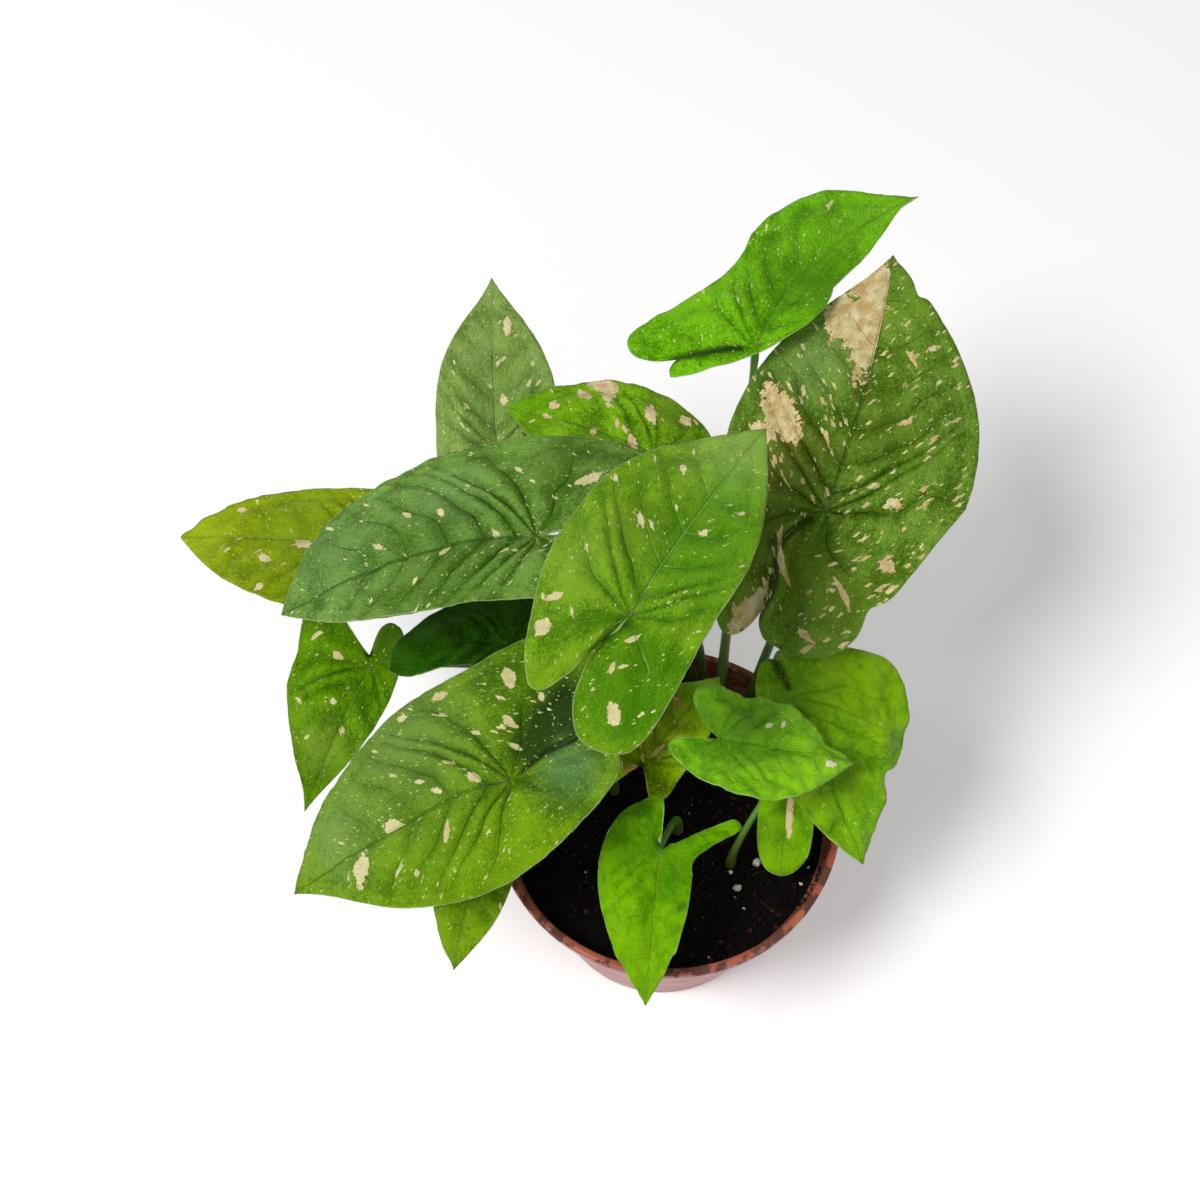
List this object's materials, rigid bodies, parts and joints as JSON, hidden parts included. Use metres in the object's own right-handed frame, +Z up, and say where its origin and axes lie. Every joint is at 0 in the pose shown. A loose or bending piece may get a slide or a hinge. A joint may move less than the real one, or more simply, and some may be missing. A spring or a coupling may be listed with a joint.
{
  "type": "potted syngonium",
  "caption": "Potted arrowhead vine: speckled arrow-shaped leaves on arching stalks in a round tapered nursery pot of soil.",
  "frame": {"origin": "middle of the pot's underside, on the surface it stands on", "axes": "+Z up along the pot's axis; -Y towards the viewer's side, where the smallest leaves lean out; +X to the viewer's right"},
  "size_m": [0.2642, 0.2374, 0.2351],
  "materials": {
    "pot": "satin",
    "soil": "matte",
    "leaf": "satin",
    "stalk": "satin"
  },
  "bodies": {
    "root": {"pot": "pot", "soil": "soil", "leaf_top_arrow": "leaf", "leaf_rear_right": "leaf", "leaf_rear_left": "leaf", "leaf_rear_middle": "leaf", "leaf_left_wide": "leaf", "leaf_front_high": "leaf", "leaf_far_left": "leaf", "leaf_left_low": "leaf", "leaf_left_shaded": "leaf", "leaf_front_left": "leaf", "leaf_under_left": "leaf", "leaf_front_arrow": "leaf", "leaf_right_small": "leaf", "leaf_right_round": "leaf", "leaf_stub": "leaf", "leaf_olive": "leaf", "stalk_top_arrow": "stalk", "stalk_rear_right": "stalk", "stalk_rear_left": "stalk", "stalk_rear_middle": "stalk", "stalk_left_wide": "stalk", "stalk_front_high": "stalk", "stalk_far_left": "stalk", "stalk_left_low": "stalk", "stalk_left_shaded": "stalk", "stalk_front_left": "stalk", "stalk_under_left": "stalk", "stalk_front_arrow": "stalk", "stalk_right_small": "stalk", "stalk_right_round": "stalk", "stalk_stub": "stalk", "stalk_olive": "stalk"}
  },
  "joints": []
}
